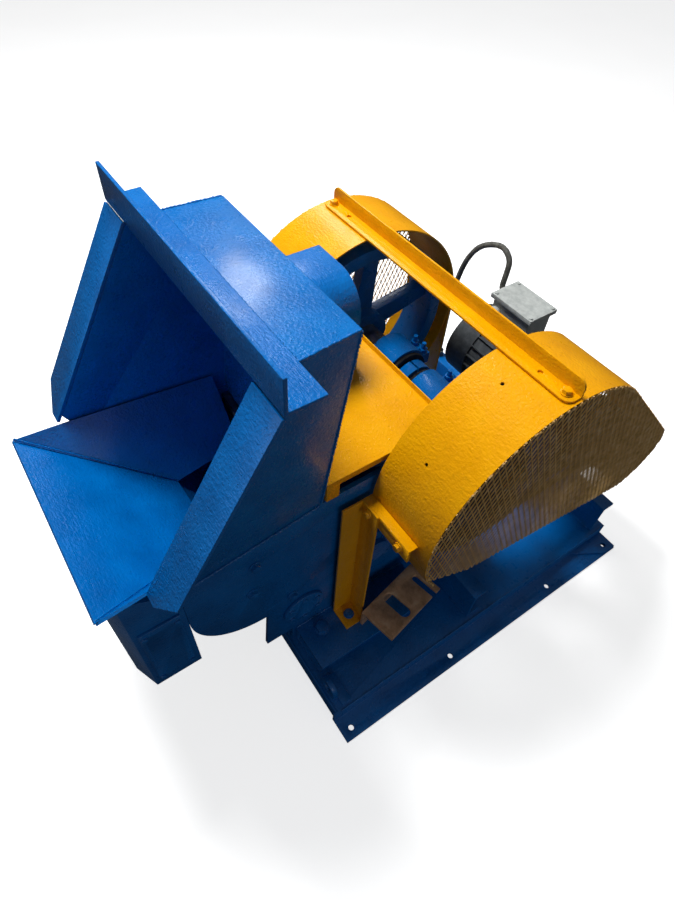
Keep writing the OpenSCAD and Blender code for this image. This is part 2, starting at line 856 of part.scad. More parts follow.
// Plain spoked flywheel on the far end.
module flywheel() {
  color(blue) difference() {
    union() {
      ring(wheel_radius, wheel_radius - 30, -wheel_out, -wheel_in, 0, shaft_height);
      wheel_spokes(-250, -222, 54, wheel_radius - 30, 5);
      rod(58, -286, -wheel_in + 2, 0, shaft_height);
    }
    rod(shaft_r, -300, -180, 0, shaft_height);
  }
}

// Split collar between the bearings, with two clamp screws.
module shaft_collar() {
  color("#1670c8") {
    difference() {
      rod(44, -34, -6, 0, shaft_height);
      rod(shaft_r, -40, 0, 0, shaft_height);
      box(-40, 0, -2, 2, shaft_height + 20, shaft_height + 50);
    }
  }
}

module transfer_pulley() {
  color(dark_blue) difference() {
    rod(transfer_r, transfer_x, transfer_x + transfer_w, 0, shaft_height);
    rod(shaft_r, transfer_x - 1, transfer_x + transfer_w + 1, 0, shaft_height);
    for (x = [transfer_x + 12, transfer_x + 32])
      ring(transfer_r + 5, transfer_r - 12, x - 6, x + 6, 0, shaft_height);
  }
}

// ---- rotor ----

module rotor_shaft() {
  color(steel) rod(rotor_shaft_r, -body_half - 12, body_half + 12, rotor_y, rotor_z);
}

function pin_at(i) = [rotor_y + pin_circle * cos(45 + 90 * i), rotor_z + pin_circle * sin(45 + 90 * i)];

module rotor_discs() {
  color(steel) difference() {
    for (x = disc_x) rod(disc_r, x, x + disc_t, rotor_y, rotor_z);
    rod(rotor_shaft_r, -200, 200, rotor_y, rotor_z);
    for (i = [0 : 3]) rod(pin_r, -200, 200, pin_at(i)[0], pin_at(i)[1]);
  }
}

module rotor_pulley() {
  color(dark_blue) difference() {
    rod(rotor_pulley_r, transfer_x, transfer_x + transfer_w, rotor_y, rotor_z);
    rod(rotor_shaft_r, transfer_x - 1, transfer_x + transfer_w + 1, rotor_y, rotor_z);
    for (x = [transfer_x + 12, transfer_x + 32])
      ring(rotor_pulley_r + 5, rotor_pulley_r - 12, x - 6, x + 6, rotor_y, rotor_z);
  }
}

module hammer_pins() {
  color(steel) for (i = [0 : 3])
    rod(pin_r, disc_x[0] - 6, disc_x[4] + disc_t + 6, pin_at(i)[0], pin_at(i)[1]);
}

// One row of flat swing hammers on pin number i, pointing straight out.
module hammer_row(i) {
  tip = hammer_reach - pin_circle;
  color("#7d8086") for (k = [0 : 3]) difference() {
    x = disc_x[k] + disc_t + (i % 2 == 0 ? 8 : 22);
    translate([x, pin_at(i)[0], pin_at(i)[1]]) rotate([45 + 90 * i, 0, 0]) translate([0, -14, -18])
      box(0, 10, 0, tip + 14 - 1, 0, 36);
    rod(pin_r + 0.08, x - 1, x + 11, pin_at(i)[0], pin_at(i)[1]);
  }
}

module hammers_1() { hammer_row(0); }
module hammers_2() { hammer_row(1); }
module hammers_3() { hammer_row(2); }
module hammers_4() { hammer_row(3); }

// ---- motor ----

module motor_stand() {
  color(blue) difference() {
    union() {
      box(-150, 150, 288, 492, 228, 236);
      both_sides() box(150, 156, 288, rear_channel_y, deck, 236);
      both_sides() box(150, 156, rear_channel_y, rear_channel_y + channel_flange, channel_top, 236);
    }
    for (x = [-70, 70], y = [300, 480]) translate([x, y, 220]) cylinder(r = 6, h = 20);
  }
}

module motor_body() {
  fins = 22;
  color(motor_grey) difference() {
    union() {
      rod(motor_r - 8, -150, 140, motor_y, motor_z);
      for (i = [0 : fins - 1]) slab(-120, 110) translate([motor_y, motor_z]) rotate(i * 360 / fins)
        translate([motor_r - 12, -1.5]) square([12, 3]);
      rod(motor_r - 2, 110, 132, motor_y, motor_z);
      rod(motor_r - 2, -190, -120, motor_y, motor_z);
      both_sides() box(46, 94, motor_y - 104, motor_y + 104, 236, 248);
      both_sides() box(50, 90, motor_y - 60, motor_y + 60, 248, 290);
      box(-100, -36, motor_y - 26, motor_y + 26, motor_z + 80, motor_z + 118);
    }
    rod(19.05, 60, 150, motor_y, motor_z);
    for (x = [-70, 70], y = [300, 480]) translate([x, y, 220]) cylinder(r = 6, h = 40);
  }
}

// Motor shaft with its grooved pulley.
module motor_rotor() {
  color(steel) union() {
    rod(19, 62, 290, motor_y, motor_z);
    difference() {
      rod(motor_pulley_radius, 206, 286, motor_y, motor_z);
      for (x = groove_x)
        ring(motor_pulley_radius + 5, motor_pulley_radius - groove_depth,
          x - belt_w / 2 - 1, x + belt_w / 2 + 1, motor_y, motor_z);
    }
  }
}

module terminal_box() {
  box_x0 = -136;
  box_x1 = 0;
  box_y0 = 346;
  box_y1 = 440;
  low = motor_z + 118;
  high = 548;
  color(box_grey) union() {
    box(box_x0 + 8, box_x1 - 8, box_y0 + 8, box_y1 - 8, low, high - 12);
    box(box_x0, box_x1, box_y0, box_y1, high - 12, high);
    for (x = [box_x0 + 9, box_x1 - 9], y = [box_y0 + 9, box_y1 - 9])
      translate([x, y, high]) cylinder(r = 5, h = 3);
    translate([-112, box_y0 + 8, low + 32]) rotate([90, 0, 0]) cylinder(r = 17, h = 14);
    translate([box_x0 + 8, 420, 506]) rotate([0, -90, 0]) cylinder(r = 13, h = 20);
  }
}

// Flexible conduit from the terminal box to a gland on the rear cross channel.
conduit_r = 7.5;
conduit_route = [
  [-149, 420, 506], [-157, 420, 508], [-166, 422, 522], [-168, 426, 552], [-172, 430, 584],
  [-186, 430, 603],
  [-208, 430, 610], [-238, 430, 600], [-268, 430, 580], [-292, 430, 552], [-312, 430, 510],
  [-325, 430, 460], [-333, 430, 400], [-336, 430, 330], [-336, 430, 260], [-336, 430, 200],
  [-336, 430, 166]
];
ring_sides = 10;

function route_dir(p, i) = unit(p[min(i + 1, len(p) - 1)] - p[max(i - 1, 0)]);
function smooth(p, i, t) = let(
    a = p[max(i - 1, 0)], b = p[i], c = p[i + 1], d = p[min(i + 2, len(p) - 1)])
  0.5 * (2 * b + (c - a) * t + (2 * a - 5 * b + 4 * c - d) * t * t + (3 * b - a - 3 * c + d) * t * t * t);
steps = 4;
conduit_path = [
  for (i = [0 : len(conduit_route) - 2], s = [0 : steps - 1]) smooth(conduit_route, i, s / steps),
  conduit_route[len(conduit_route) - 1]
];

module tube(path, r) {
  n = len(path);
  side = [1, 0.3, 0.1];
  pts = [for (i = [0 : n - 1]) let(
      d = route_dir(path, i), u = unit(cross(d, side)), v = cross(d, u))
    for (k = [0 : ring_sides - 1]) let(turn = k * 360 / ring_sides)
      path[i] + r * (cos(turn) * u + sin(turn) * v)];
  walls = [for (i = [0 : n - 2], k = [0 : ring_sides - 1]) let(j = (k + 1) % ring_sides)
    [i * ring_sides + k, (i + 1) * ring_sides + k, (i + 1) * ring_sides + j, i * ring_sides + j]];
  first = [for (k = [0 : ring_sides - 1]) k];
  last = [for (k = [0 : ring_sides - 1]) n * ring_sides - 1 - k];
  polyhedron(points = pts, faces = concat(walls, [first], [last]), convexity = 6);
}

module conduit() {
  color("#6a6a66") {
    tube(conduit_path, conduit_r);
    translate([-336, 430, channel_top]) cylinder(r = 14, h = 20);
  }
}

// Drive belts from the motor and the transfer belts to the rotor.
module v_belts() {
  thick = 9;
  reach = 11;
  color(rubber) {
    for (x = groove_x) slab(x - belt_w / 2, x + belt_w / 2)
      belt_outline(0, shaft_height, wheel_radius - groove_depth + reach, motor_y, motor_z,
        motor_pulley_radius - groove_depth + reach, thick);
    for (x = [transfer_x + 12, transfer_x + 32]) slab(x - 5, x + 5)
      belt_outline(0, shaft_height, transfer_r - 12 + 9, rotor_y, rotor_z, rotor_pulley_r - 12 + 9, 8);
  }
}

base_rail_near();
base_rail_far();
front_cross_member();
cross_channel_middle();
cross_channel_rear();
corner_plates();
sill_near();
sill_far();
front_lifting_lugs();
side_plate_near();
side_plate_far();
body_bolts();
inspection_cover();
chamber_wrap();
breaker_plate();
screen();
discharge_spout();
hopper_shell();
mouth_frame();
mouth_top_angle();
feed_tray();
metal_trap_box();
trap_door();
dust_vent();
cover_sheet();
guard_shell_near();
guard_mesh_near();
guard_shell_far();
guard_mesh_far();
guard_post_near();
guard_post_far();
guard_brackets();
brace_angle();
guard_bolts();
tension_bracket();
bearing_beam();
bearing_block_far();
bearing_block_near();
bearing_studs();
bearing_seals();
rotor_bearings();
main_shaft();
drive_sheave();
flywheel();
shaft_collar();
transfer_pulley();
rotor_shaft();
rotor_discs();
rotor_pulley();
hammer_pins();
hammers_1();
hammers_2();
hammers_3();
hammers_4();
motor_stand();
motor_body();
motor_rotor();
terminal_box();
conduit();
v_belts();
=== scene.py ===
"""Looks for the hammer mill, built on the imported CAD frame. Lengths are in metres."""

import json
import math
import random

import bmesh
import bpy
from mathutils import Matrix, Vector


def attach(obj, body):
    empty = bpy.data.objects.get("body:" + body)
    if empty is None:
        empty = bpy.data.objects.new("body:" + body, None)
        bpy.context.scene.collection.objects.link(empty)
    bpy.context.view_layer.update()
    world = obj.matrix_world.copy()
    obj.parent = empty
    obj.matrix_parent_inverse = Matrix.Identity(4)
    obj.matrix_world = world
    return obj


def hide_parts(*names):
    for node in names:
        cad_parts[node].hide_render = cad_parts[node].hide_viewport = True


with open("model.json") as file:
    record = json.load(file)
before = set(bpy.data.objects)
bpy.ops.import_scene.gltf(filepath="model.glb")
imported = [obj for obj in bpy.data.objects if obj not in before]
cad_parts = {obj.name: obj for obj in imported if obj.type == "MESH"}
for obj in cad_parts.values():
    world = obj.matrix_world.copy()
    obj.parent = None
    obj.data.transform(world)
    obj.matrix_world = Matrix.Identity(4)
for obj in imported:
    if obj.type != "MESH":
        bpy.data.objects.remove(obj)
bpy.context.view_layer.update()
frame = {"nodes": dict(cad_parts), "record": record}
nodes = frame["nodes"]
scene = bpy.context.scene


# ---------------------------------------------------------------- materials

def linear(hex_colour):
    """sRGB hex to linear RGBA."""
    parts = [int(hex_colour[i:i + 2], 16) / 255 for i in (1, 3, 5)]
    return [c / 12.92 if c <= 0.04045 else ((c + 0.055) / 1.055) ** 2.4 for c in parts] + [1.0]


def add(tree, kind, inputs=None, **settings):
    """Adds one node; inputs maps a socket's name or number to a value or to another socket."""
    made = tree.nodes.new(kind)
    for key, value in settings.items():
        setattr(made, key, value)
    for key, value in (inputs or {}).items():
        if isinstance(value, bpy.types.NodeSocket):
            tree.links.new(value, made.inputs[key])
        else:
            made.inputs[key].default_value = value
    return made


def new_material(name):
    """A material with one shader, and the Object coordinates its patterns use."""
    material = bpy.data.materials.new(name)
    material.use_nodes = True
    tree = material.node_tree
    tree.nodes.clear()
    output = tree.nodes.new("ShaderNodeOutputMaterial")
    shader = tree.nodes.new("ShaderNodeBsdfPrincipled")
    tree.links.new(shader.outputs[0], output.inputs[0])
    place = tree.nodes.new("ShaderNodeTexCoord").outputs["Object"]
    return material, tree, shader, place


def ramp(tree, factor, stops):
    """Colours by position along a factor; each stop is a hex colour or a linear one."""
    made = add(tree, "ShaderNodeValToRGB", {0: factor})
    elements = made.color_ramp.elements
    while len(elements) < len(stops):
        elements.new(0.5)
    for element, (position, colour) in zip(elements, stops):
        element.position = position
        element.color = colour if isinstance(colour, (list, tuple)) else linear(colour)
    return made.outputs["Color"]


def grey(value):
    """A linear grey."""
    return (value, value, value, 1.0)


def brushed_enamel(name, body, deep, worn, gloss, coat, streak_along, dust):
    """Thick brush-painted enamel: orange peel, brush strokes, thin spots and grime."""
    material, tree, shader, place = new_material(name)
    # colour wanders over about 60 mm where the coat is thicker or thinner
    broad = add(tree, "ShaderNodeTexNoise", {"Vector": place, "Scale": 16.0, "Detail": 5.0,
                                             "Roughness": 0.55})
    colour = ramp(tree, broad.outputs["Fac"], [(0.25, deep), (0.55, body), (0.85, worn)])
    # brush strokes about 1.5 mm wide and 50 mm long
    stretch = add(tree, "ShaderNodeMapping", {"Vector": place, "Scale": streak_along})
    strokes = add(tree, "ShaderNodeTexNoise", {"Vector": stretch.outputs[0], "Scale": 1.0,
                                               "Detail": 3.0, "Roughness": 0.6})
    # orange peel about 5 mm across and fine nibs of dust in the paint
    peel = add(tree, "ShaderNodeTexNoise", {"Vector": place, "Scale": 190.0, "Detail": 2.5})
    nibs = add(tree, "ShaderNodeTexVoronoi", {"Vector": place, "Scale": 150.0}, feature="F1")
    nib_mask = ramp(tree, nibs.outputs["Distance"], [(0.05, grey(1)), (0.16, grey(0))])
    height = add(tree, "ShaderNodeMath", {0: strokes.outputs["Fac"], 1: 0.6,
                                          2: peel.outputs["Fac"]}, operation="MULTIPLY_ADD")
    height = add(tree, "ShaderNodeMath", {0: nib_mask, 1: dust, 2: height.outputs[0]},
                 operation="MULTIPLY_ADD")
    bump = add(tree, "ShaderNodeBump", {"Strength": 0.8, "Distance": 0.0017,
                                        "Height": height.outputs[0]})
    # grime in patches of about 25 mm dulls the gloss
    patches = add(tree, "ShaderNodeTexNoise", {"Vector": place, "Scale": 42.0, "Detail": 6.0,
                                               "Roughness": 0.7})
    roughness = ramp(tree, patches.outputs["Fac"], [(0.35, grey(gloss)), (0.72, grey(gloss + 0.2))])
    grime = ramp(tree, patches.outputs["Fac"], [(0.6, grey(1.0)), (0.8, grey(0.78))])
    dirty = add(tree, "ShaderNodeMix", {0: 1.0, 6: colour, 7: grime}, data_type="RGBA",
                blend_type="MULTIPLY")
    tree.links.new(dirty.outputs[2], shader.inputs["Base Color"])
    tree.links.new(roughness, shader.inputs["Roughness"])
    tree.links.new(bump.outputs[0], shader.inputs["Normal"])
    shader.inputs["Coat Weight"].default_value = coat
    shader.inputs["Coat Roughness"].default_value = 0.19
    return material


def rough_metal(name, light, dark, spots, metallic, roughness, scale, depth):
    """Bare or lightly painted metal with mottling about 1/scale metres across."""
    material, tree, shader, place = new_material(name)
    mottle = add(tree, "ShaderNodeTexNoise", {"Vector": place, "Scale": scale, "Detail": 7.0,
                                              "Roughness": 0.65})
    colour = ramp(tree, mottle.outputs["Fac"], [(0.3, dark), (0.55, light), (0.8, spots)])
    grain = add(tree, "ShaderNodeTexNoise", {"Vector": place, "Scale": scale * 14, "Detail": 4.0})
    bump = add(tree, "ShaderNodeBump", {"Strength": depth, "Distance": 0.0006,
                                        "Height": grain.outputs["Fac"]})
    shine = ramp(tree, mottle.outputs["Fac"], [(0.3, grey(roughness)), (0.8, grey(roughness + 0.18))])
    tree.links.new(colour, shader.inputs["Base Color"])
    tree.links.new(shine, shader.inputs["Roughness"])
    tree.links.new(bump.outputs[0], shader.inputs["Normal"])
    shader.inputs["Metallic"].default_value = metallic
    return material


def turned_steel(name):
    """Machined steel with turning marks 0.4 mm apart around the X axis."""
    material, tree, shader, place = new_material(name)
    rings = add(tree, "ShaderNodeTexWave", {"Vector": place, "Scale": 400.0, "Distortion": 1.5,
                                            "Detail": 2.0}, bands_direction="X")
    stain = add(tree, "ShaderNodeTexNoise", {"Vector": place, "Scale": 40.0, "Detail": 5.0})
    colour = ramp(tree, stain.outputs["Fac"], [(0.3, "#6f6a64"), (0.6, "#a3a5a8"), (0.8, "#b9bbbd")])
    bump = add(tree, "ShaderNodeBump", {"Strength": 0.25, "Distance": 0.0002,
                                        "Height": rings.outputs["Fac"]})
    tree.links.new(colour, shader.inputs["Base Color"])
    tree.links.new(bump.outputs[0], shader.inputs["Normal"])
    shader.inputs["Metallic"].default_value = 1.0
    shader.inputs["Roughness"].default_value = 0.34
    return material


def ribbed_jacket(name):
    """Satin conduit jacket with fine scuffs and ribs 5 mm apart down its length."""
    material, tree, shader, place = new_material(name)
    ribs = add(tree, "ShaderNodeTexWave", {"Vector": place, "Scale": 62.0, "Distortion": 0.3},
               bands_direction="Z", wave_profile="SIN")
    scuffs = add(tree, "ShaderNodeTexNoise", {"Vector": place, "Scale": 120.0, "Detail": 6.0})
    colour = ramp(tree, scuffs.outputs["Fac"], [(0.3, "#4f4f4b"), (0.6, "#6d6d68"), (0.8, "#8a8a84")])
    bump = add(tree, "ShaderNodeBump", {"Strength": 0.35, "Distance": 0.0005,
                                        "Height": ribs.outputs["Fac"]})
    tree.links.new(colour, shader.inputs["Base Color"])
    tree.links.new(bump.outputs[0], shader.inputs["Normal"])
    shader.inputs["Roughness"].default_value = 0.42
    return material


def belt_rubber_material(name):
    """Dull black rubber with chalky dust."""
    material, tree, shader, place = new_material(name)
    dust = add(tree, "ShaderNodeTexNoise", {"Vector": place, "Scale": 90.0, "Detail": 6.0})
    colour = ramp(tree, dust.outputs["Fac"], [(0.35, "#17171a"), (0.65, "#2b2a2b"), (0.82, "#4a4744")])
    bump = add(tree, "ShaderNodeBump", {"Strength": 0.3, "Distance": 0.0004,
                                        "Height": dust.outputs["Fac"]})
    tree.links.new(colour, shader.inputs["Base Color"])
    tree.links.new(bump.outputs[0], shader.inputs["Normal"])
    shader.inputs["Roughness"].default_value = 0.7
    return material


# blue machine enamel, brushed on thickly
blue = brushed_enamel("blue_enamel", "#0069b8", "#005ca6", "#0074c6", 0.24, 0.35, (60, 420, 300), 0.5)
# the same enamel where the strokes run across the hopper's top
blue_top = brushed_enamel("blue_enamel_top", "#006cba", "#005fa9", "#0079c8", 0.22, 0.6,
                          (380, 70, 300), 1.0)
# safety yellow enamel
yellow = brushed_enamel("yellow_enamel", "#f2a800", "#e89d00", "#f8b206", 0.26, 0.25,
                        (50, 260, 260), 0.6)
# yellow paint on the thin strands of the expanded metal, thin enough to show the steel; its colours are
# also lightened as painted light, standing in for the light the strands miss in the guard's shade
mesh_paint_with_painted_light = rough_metal("guard_mesh", "#edc07a", "#c3964e", "#ffe3b0", 0.0, 0.38, 60.0, 0.4)
steel = turned_steel("machined_steel")
# hot-rolled bracket, bare, with a brown mill scale
scale_brown = rough_metal("bare_bracket", "#dcae86", "#b08460", "#efcfae", 0.1, 0.34, 45.0, 0.5)
# motor frame in dark grey over rough castings
cast_grey = rough_metal("motor_casting", "#54585b", "#3c4043", "#6c7073", 0.2, 0.5, 50.0, 0.6)
# die-cast terminal box in light grey
box_grey = rough_metal("terminal_casting", "#b6bab7", "#9fa4a2", "#c9cdca", 0.0, 0.44, 70.0, 0.3)
jacket = ribbed_jacket("conduit_jacket")
rubber = belt_rubber_material("belt_rubber")

# the near sheave's coat as painted shade: a dark, matte navy that stands in for the shade behind its
# guard
painted_shade_sheave_blue = brushed_enamel("blue_enamel_painted_shade", "#0b2442", "#081a30", "#173453", 0.55, 0.0,
                            (60, 200, 200), 0.4)

SLOT_MATERIAL = {
    "blue_enamel": blue, "yellow_enamel": yellow, "guard_mesh": mesh_paint_with_painted_light,
    "machined_steel": steel, "bare_bracket": scale_brown, "motor_casting": cast_grey,
    "terminal_casting": box_grey, "conduit_jacket": jacket, "belt_rubber": rubber,
}
slot_of = {part["node"]: part["material_slot"] for part in frame["record"]["subparts"]}
body_of = {}
for body_name, members in frame["record"]["behaviour"]["bodies"].items():
    for member in members:
        body_of[member] = body_name


def paint(obj, material):
    """Gives the object one material."""
    obj.data.materials.clear()
    obj.data.materials.append(material)


for node_name, node_object in nodes.items():
    paint(node_object, SLOT_MATERIAL[slot_of[node_name]])


# ---------------------------------------------------------------- making pieces

def put(name, mesh, body, slot, material=None):
    """Adds a finished mesh as a piece that rides on a body."""
    obj = bpy.data.objects.new(name, mesh)
    scene.collection.objects.link(obj)
    paint(obj, material or SLOT_MATERIAL[slot])
    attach(obj, body)
    return obj


def applied(obj):
    """The object's mesh with its modifiers applied and removed."""
    graph = bpy.context.evaluated_depsgraph_get()
    made = bpy.data.meshes.new_from_object(obj.evaluated_get(graph))
    obj.modifiers.clear()
    obj.data = made
    return obj


def eased(node_name, width, material=None):
    """The node's own shape with its sharp edges rounded, as rolled and painted steel has them."""
    mesh = nodes[node_name].data.copy()
    work = bmesh.new()
    work.from_mesh(mesh)
    bmesh.ops.remove_doubles(work, verts=work.verts, dist=2e-6)
    bmesh.ops.dissolve_limit(work, angle_limit=math.radians(0.6), verts=work.verts, edges=work.edges)
    work.to_mesh(mesh)
    work.free()
    obj = bpy.data.objects.new(node_name + "_eased", mesh)
    scene.collection.objects.link(obj)
    for polygon in mesh.polygons:
        polygon.use_smooth = True
    bevel = obj.modifiers.new("ease", "BEVEL")
    bevel.width = width
    bevel.segments = 2
    bevel.limit_method = "ANGLE"
    bevel.angle_limit = math.radians(32)
    bevel.use_clamp_overlap = True
    bevel.harden_normals = True
    bevel.miter_outer = "MITER_ARC"
    applied(obj)
    paint(obj, material or SLOT_MATERIAL[slot_of[node_name]])
    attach(obj, body_of[node_name])
    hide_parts(node_name)
    return obj


def bead(name, paths, radius, body, slot, seed, material=None):
    """Welded or tacked beads along paths: a lumpy rope of overlapping ripples."""
    chance = random.Random(seed)
    work = bmesh.new()
    sides = 8
    for path in paths:
        points = [Vector(p) for p in path]
        legs = []
        for start, end in zip(points, points[1:]):
            count = max(2, int((end - start).length / (radius * 0.8)))
            legs += [start.lerp(end, i / count) for i in range(count)]
        legs.append(points[-1])
        rings = []
        for i, here in enumerate(legs):
            ahead = legs[min(i + 1, len(legs) - 1)] - legs[max(i - 1, 0)]
            ahead.normalize()
            side = ahead.orthogonal().normalized()
            other = ahead.cross(side)
            swell = radius * (0.82 + 0.2 * math.sin(i * 1.9) + chance.uniform(-0.16, 0.16))
            if i in (0, len(legs) - 1):
                swell *= 0.35
            drift = (side * chance.uniform(-0.2, 0.2) + other * chance.uniform(-0.2, 0.2)) * radius
            rings.append([work.verts.new(here + drift + swell * (
                math.cos(math.tau * k / sides) * side + math.sin(math.tau * k / sides) * other))
                for k in range(sides)])
        for first, second in zip(rings, rings[1:]):
            for k in range(sides):
                work.faces.new((first[k], first[(k + 1) % sides], second[(k + 1) % sides], second[k]))
        work.faces.new(list(reversed(rings[0])))
        work.faces.new(rings[-1])
    bmesh.ops.recalc_face_normals(work, faces=work.faces)
    mesh = bpy.data.meshes.new(name)
    work.to_mesh(mesh)
    work.free()
    for polygon in mesh.polygons:
        polygon.use_smooth = True
    return put(name, mesh, body, slot, material)


# ---------------------------------------------------------------- camera and light

camera_data = bpy.data.cameras.new("camera")
camera_data.lens = 24.1
camera_data.sensor_width = 36.0
camera = bpy.data.objects.new("camera", camera_data)
scene.collection.objects.link(camera)
right = Vector((0.5625, 0.8258, 0.0427)).normalized()
back = Vector((0.4996, -0.3806, 0.7782)).normalized()
up = back.cross(right).normalized()
right = up.cross(back)
camera.matrix_world = Matrix.Translation((0.6640, -0.7159, 1.4622)) @ Matrix(
    (right, up, back)).transposed().to_4x4()
scene.camera = camera


def light(name, place, target, size, power, colour):
    """An area light in metres and watts, turned to face its target."""
    data = bpy.data.lights.new(name, "AREA")
    data.shape = "RECTANGLE"
    data.size, data.size_y = size
    data.energy = power
    data.color = linear(colour)[:3]
    obj = bpy.data.objects.new(name, data)
    scene.collection.objects.link(obj)
    obj.location = place
    obj.rotation_mode = "QUATERNION"
    obj.rotation_quaternion = (Vector(target) - Vector(place)).to_track_quat("-Z", "Y")
    return obj


roof = light("roof_panel", (-1.15, -0.4, 3.3), (0, -0.1, 0.5), (0.9, 0.9), 108, "#ffffff")
# the panel lights surfaces without a wide glare; the strip alone gives the highlights,
# broken up by the rough paint of the hopper's top and the guards
roof.visible_glossy = False
light("rear_strip", (-2.0, 0.7, 2.7), (0.1, -0.3, 0.9), (0.45, 1.3), 15, "#ffffff")
light("front_panel", (-1.4, -3.2, 2.0), (0, -0.4, 0.5), (1.5, 1.0), 5, "#f4f8ff")
light("side_fill", (3.4, -0.6, 1.3), (0, 0, 0.4), (1.4, 1.4), 9, "#eef4fc")

# the room is white to the eye and dim as a light, which keeps the shaded sides deep
world = bpy.data.worlds.new("studio")
scene.world = world
world.use_nodes = True
sky = world.node_tree
rays = add(sky, "ShaderNodeLightPath")
sky_level = add(sky, "ShaderNodeMapRange", {0: rays.outputs["Is Camera Ray"], 3: 0.10, 4: 1.0})
sky.links.new(sky_level.outputs[0], sky.nodes["Background"].inputs["Strength"])
sky.nodes["Background"].inputs["Color"].default_value = (0.94, 0.97, 1.0, 1)
scene.view_settings.view_transform = "Standard"

floor_mesh = bpy.data.meshes.new("floor")
reach = 14.0
floor_mesh.from_pydata([(-reach, -reach, 0), (reach, -reach, 0), (reach, reach, 0), (-reach, reach, 0)],
                       [], [(0, 1, 2, 3)])
floor = bpy.data.objects.new("floor", floor_mesh)
scene.collection.objects.link(floor)
floor_material, floor_tree, floor_shader, floor_place = new_material("pale_floor")
floor_noise = add(floor_tree, "ShaderNodeTexNoise", {"Vector": floor_place, "Scale": 3.0,
                                                     "Detail": 3.0})
pale = ramp(floor_tree, floor_noise.outputs["Fac"], [(0.3, "#f4f4f4"), (0.7, "#fafafa")])
floor_rays = add(floor_tree, "ShaderNodeLightPath")
floor_tint = add(floor_tree, "ShaderNodeMix", {0: floor_rays.outputs["Is Camera Ray"],
                                               6: linear("#474c50"), 7: pale}, data_type="RGBA")
floor_tree.links.new(floor_tint.outputs[2], floor_shader.inputs["Base Color"])
floor_glow = add(floor_tree, "ShaderNodeMath", {0: floor_rays.outputs["Is Camera Ray"], 1: 0.72},
                 operation="MULTIPLY")
floor_shader.inputs["Emission Color"].default_value = (1, 1, 1, 1)
floor_tree.links.new(floor_glow.outputs[0], floor_shader.inputs["Emission Strength"])
floor_shader.inputs["Roughness"].default_value = 0.85
paint(floor, floor_material)


# ---------------------------------------------------------------- eased steelwork

for name in ("base_rail_near", "base_rail_far", "front_cross_member", "cross_channel_middle",
             "cross_channel_rear", "corner_plates", "sill_near", "sill_far", "front_lifting_lugs",
             "side_plate_near", "side_plate_far", "metal_trap_box", "trap_door", "mouth_frame",
             "mouth_top_angle", "cover_sheet", "guard_post_near", "guard_post_far",
             "guard_brackets", "brace_angle", "tension_bracket", "motor_stand",
             "body_bolts", "guard_bolts", "inspection_cover", "bearing_block_far",
             "bearing_block_near", "bearing_studs", "shaft_collar", "terminal_box", "dust_vent",
             "bearing_beam"):
    eased(name, 0.0011)
eased("hopper_shell", 0.0014, blue_top)
eased("flywheel", 0.0016)
# the near sheave takes the dark navy of painted shade
eased("drive_sheave", 0.0016, painted_shade_sheave_blue)


# ---------------------------------------------------------------- expanded metal

SHORT_WAY = 0.0145      # opening across the strands, along Y
LONG_WAY = 0.032        # opening along the strands, along Z
BOND = 0.0010           # half the spacing of two strands where they join


def strand_pair():
    """Wires from one bond: one up and one down to the bonds in the next column."""
    steps = 4
    points, edges = [], []
    for way in (1, -1):
        first = len(points)
        for i in range(steps + 1):
            t = i / steps
            ease = t * t * (3 - 2 * t)
            points.append((0, BOND + (SHORT_WAY / 2 - 2 * BOND) * ease, way * LONG_WAY / 2 * t))
        edges += [(first + i, first + i + 1) for i in range(steps)]
    mesh = bpy.data.meshes.new("strand_pair")
    mesh.from_pydata(points, edges, [])
    return bpy.data.objects.new("strand_pair", mesh)


